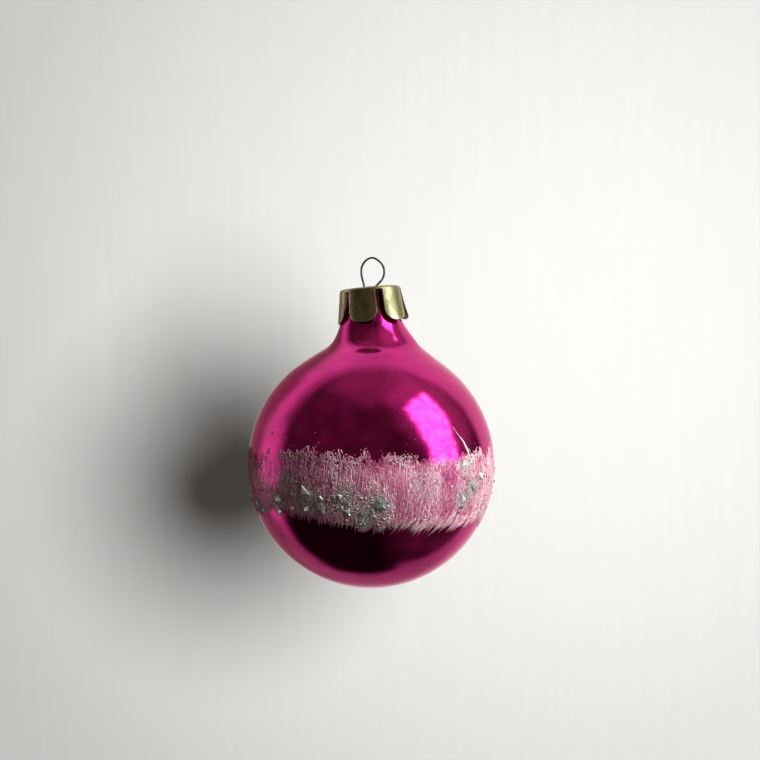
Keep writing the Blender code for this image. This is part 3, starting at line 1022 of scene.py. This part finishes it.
def leg_points(side):
    """One leg from its tip up to the cap's top face, as in the CAD."""
    hole_x = CAP_OFFSET_X + side * HOLE_SPACING / 2
    tip_x = side * LEG_SPREAD
    straight = HANGER_TRAVEL + 0.6 * MM
    splay = LEG_LENGTH - straight
    points = [Vector((tip_x, 0.0, CAP_TOP_Z - LEG_LENGTH))]
    for share in (0.66, 0.33):
        easing = share * share * (3.0 - 2.0 * share)
        x = hole_x + (tip_x - hole_x) * easing
        points.append(Vector((x, 0.0, CAP_TOP_Z - straight - splay * share)))
    for share in (1.0, 0.66, 0.33, 0.0):
        points.append(Vector((hole_x, 0.0, CAP_TOP_Z - straight * share)))
    return points


def build_hanger():
    """Bent wire with a round section, slightly uneven in thickness."""
    route = leg_points(-1.0)
    route += [Vector((x * MM, 0.0, CAP_TOP_Z + up * MM)) for x, up in LOOP_ROUTE]
    route += leg_points(1.0)[::-1]
    route = smooth_route(route, WIRE_STEPS)
    vertices = []
    rings = []
    for number, centre in enumerate(route):
        along = (route[min(number + 1, len(route) - 1)] - route[max(number - 1, 0)]).normalized()
        across = Vector((0.0, 1.0, 0.0))
        other = along.cross(across)
        radius = WIRE_RADIUS * (1.0 + 0.03 * noise.noise(centre * 900.0))
        rings.append(range(len(vertices), len(vertices) + WIRE_SIDES))
        for side in range(WIRE_SIDES):
            angle = 2 * pi * side / WIRE_SIDES
            spoke = across * cos(angle) + other * sin(angle)
            vertices.append(centre + spoke * radius)
    faces = []
    for lower, upper in zip(rings, rings[1:]):
        faces += faces_between(lower, upper)
    faces += [tuple(rings[0])[::-1], tuple(rings[-1])]
    wire = mesh_object("wire_hanger", vertices, faces, [wire_material()])
    wire.data.set_sharp_from_angle(angle=radians(50.0))
    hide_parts("hanger")
    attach(wire, "hanger")
    return wire


# ---- stage, light and camera

WALL_Y = 0.20
FLOOR_Z = -0.34
SWEEP_HALF_WIDTH = 2.5
WALL_TOP = 1.5
FLOOR_FRONT = -2.5
JOINT_RADIUS = 0.10
JOINT_STEPS = 12

# Lamps: azimuth, elevation and distance from the ball's centre, width of the disc, power in watts
LAMPS = {
    "wall_lamp": (15.5, 7.5, 0.25, 0.09, 4.0),
    "window_lamp": (62.0, 34.0, 0.6, 0.42, 6.6),
    "back_lamp": (-172.0, 25.0, 0.9, 0.50, 7.0),
}
LAMP_COLOUR = (1.0, 1.0, 0.99)
WALL_LAMP_AIM = Vector((0.11, 0.0, 0.04))


def pale_material():
    """Off-white brushed paint with a faint upright grain; away from the ornament it lights itself."""
    material, nodes = new_material("pale_backdrop")
    grain = nodes.noise(nodes.place(scale=(1.0, 1.0, 0.05)), 260.0, 4.0)
    away = nodes.vector("LENGTH", nodes.place(offset=(0.0, -WALL_Y, 0.03)))
    nodes.shade(Base_Color=nodes.mix(grain, (0.44, 0.44, 0.435), (0.47, 0.47, 0.465)),
                Roughness=0.8, Specular_IOR_Level=0.1,
                Emission_Color=nodes.mix(grain, (0.80, 0.80, 0.79), (0.83, 0.83, 0.82)),
                Emission_Strength=nodes.ramp(away, 0.17, 0.42, 0.0, 0.95))
    return material


def build_room():
    """Pale sweep: back wall and floor with a rounded joint; the ornament doesn't mirror it."""
    low = FLOOR_Z + JOINT_RADIUS
    profile = [(WALL_Y, WALL_TOP), (WALL_Y, low)]
    for step in range(1, JOINT_STEPS + 1):
        angle = pi / 2 * step / JOINT_STEPS
        profile.append((WALL_Y - JOINT_RADIUS * (1 - cos(angle)), low - JOINT_RADIUS * sin(angle)))
    profile.append((FLOOR_FRONT, FLOOR_Z))
    vertices = [(x, y, z) for y, z in profile for x in (-SWEEP_HALF_WIDTH, SWEEP_HALF_WIDTH)]
    faces = [(2 * n, 2 * n + 1, 2 * n + 3, 2 * n + 2) for n in range(len(profile) - 1)]
    sweep = mesh_object("pale_sweep", vertices, faces, [pale_material()])
    sweep.visible_glossy = False
    sweep.visible_diffuse = False
    return sweep


def group_of(name, things):
    group = bpy.data.collections.new(name)
    for thing in things:
        group.objects.link(thing)
    return group


def add_lamp(name, aim, receivers, blockers):
    """Soft lamp that only some things catch or block, and none mirror."""
    azimuth, elevation, distance, size, energy = LAMPS[name]
    data = bpy.data.lights.new(name, "AREA")
    data.shape = "DISK"
    data.size = size
    data.energy = energy
    data.color = LAMP_COLOUR
    lamp = new_object(name, data)
    lamp.location = BALL_CENTRE + direction(azimuth, elevation) * distance
    lamp.rotation_euler = (aim - lamp.location).to_track_quat("-Z", "Y").to_euler()
    lamp.visible_camera = False
    lamp.visible_glossy = False
    lamp.light_linking.receiver_collection = group_of(name + "_receivers", receivers)
    lamp.light_linking.blocker_collection = group_of(name + "_blockers", blockers)


def pane(nodes, way, azimuth, elevation, half_width, half_height, soft):
    """1 inside an upright window pane about a direction; the sizes are in degrees."""
    axis = direction(azimuth, elevation)
    right = direction(azimuth + 90.0, 0.0)
    depth = nodes.dot(way, axis)
    inside = nodes.ramp(depth, 0.0, 0.05)
    for side, half in ((right, half_width), (right.cross(axis), half_height)):
        reach = nodes.math("ABSOLUTE", nodes.math("DIVIDE", nodes.dot(way, side), depth))
        edge = tan(radians(half))
        inside = nodes.times(inside, nodes.ramp(reach, edge - soft, edge + soft, 1.0, 0.0))
    return inside


def side_of(nodes, way, normal, low, high):
    """0 on one side of a plane through the ornament, 1 on the side that its normal points to."""
    return nodes.ramp(nodes.dot(way, normal.normalized()), low, high)


# Planes that bound the bright table in the reflections: normal, and where the edge begins and ends
TABLE_EDGES = [
    (direction(-172.0, 0.0), -0.06, 0.17), (direction(-149.0, 0.0), -0.03, 0.12),
    (Vector((0.31, 0.8, 1.0)), -0.54, -0.37), (Vector((0.0, 1.0, -0.2)), -0.12, 0.26),
]


def mirrored_room(nodes, way):
    """Light that the ornament mirrors: a dim room in front, a pale table behind, one window."""
    stirred = nodes.stir(nodes.stir(way, 3.0, 0.20), 15.0, 0.045)
    ragged = nodes.stir(nodes.stir(way, 5.0, 0.14), 24.0, 0.06)
    height = nodes.split(way)[2]
    rightward = nodes.ramp(nodes.split(way)[0], 0.05, 0.55)
    ground = nodes.mix(rightward, (0.006, 0.004, 0.004), (0.060, 0.046, 0.044))
    front = nodes.mix(nodes.ramp(height, -0.35, 0.30), ground, (0.062, 0.050, 0.042))
    glow = nodes.mix(lobe(nodes, stirred, 84.0, 40.0, 10.0, 46.0), (0.0, 0.0, 0.0), (0.36, 0.31, 0.31))
    zenith = nodes.mix(lobe(nodes, stirred, 0.0, 88.0, 4.0, 36.0), (0.0, 0.0, 0.0), (0.20, 0.17, 0.17))
    clutter = nodes.ramp(nodes.noise(stirred, 3.6, 5.0, 0.62), 0.34, 0.68)
    front = nodes.mix(clutter, front, nodes.mix(1.0, front, front, "ADD"))
    room = nodes.mix(1.0, nodes.mix(1.0, front, glow, "ADD"), zenith, "ADD")
    behind = side_of(nodes, stirred, *TABLE_EDGES[0])
    for edge in TABLE_EDGES[1:]:
        behind = nodes.times(behind, side_of(nodes, stirred, *edge))
    shade = pane(nodes, stirred, -148.0, 0.0, 24.0, 40.0, 0.22)
    table = nodes.mix(shade, (0.82, 0.80, 0.79), (0.26, 0.22, 0.20))
    table = nodes.mix(nodes.ramp(height, -0.72, -0.30, 0.75, 0.0), table, (0.24, 0.22, 0.22))
    room = nodes.mix(behind, room, table)
    window = pane(nodes, ragged, 72.0, 28.0, 15.5, 27.0, 0.035)
    cloudy = nodes.ramp(nodes.noise(way, 11.0, 4.0, 0.7), 0.36, 0.60, 0.35, 1.0)
    return nodes.mix(nodes.times(window, cloudy), room, (5.2, 6.2, 6.4))


def build_world():
    """Plain pale surroundings for the camera, faint fill for matt surfaces, a room in reflections."""
    world = bpy.data.worlds.new("studio")
    world.use_nodes = True
    bpy.context.scene.world = world
    nodes = Nodes(world.node_tree)
    path = nodes.add("LightPath")
    way = nodes.add("TexCoord").outputs["Generated"]
    side = nodes.ramp(nodes.split(way)[0], -0.9, 0.9)
    soft = nodes.mix(side, (0.085, 0.072, 0.066), (0.16, 0.15, 0.14))
    fill = nodes.mix(path.outputs["Is Glossy Ray"], soft, mirrored_room(nodes, way))
    colour = nodes.mix(path.outputs["Is Camera Ray"], fill, (0.82, 0.82, 0.815))
    nodes.fill(world.node_tree.nodes["Background"], Color=colour, Strength=1.0)


CAMERA_LENS = 55.4
CAMERA_OFFSET = Vector((0.0018, -0.2379, 0.0229))
CAMERA_DIP = radians(1.4)


def build_camera():
    """Camera a little above the ball's middle, framed with the ball low in the picture."""
    data = bpy.data.cameras.new("camera")
    data.lens = CAMERA_LENS
    data.sensor_width = 36.0
    data.clip_start = 0.01
    camera = new_object("camera", data)
    camera.location = BALL_CENTRE + CAMERA_OFFSET
    camera.rotation_euler = (pi / 2 - CAMERA_DIP, 0.0, 0.0)
    bpy.context.scene.camera = camera


bpy.context.scene.view_settings.view_transform = "Standard"
build_camera()
grit = glass_grit_material()
pieces = [build_ball(), build_grit(grit), build_cap(), build_hanger()]
pieces += build_paint() + build_chips(grit)
add_lamp("wall_lamp", BALL_CENTRE + WALL_LAMP_AIM, [build_room()], pieces)
add_lamp("window_lamp", BALL_CENTRE, pieces, pieces)
add_lamp("back_lamp", BALL_CENTRE, pieces, pieces)
build_world()
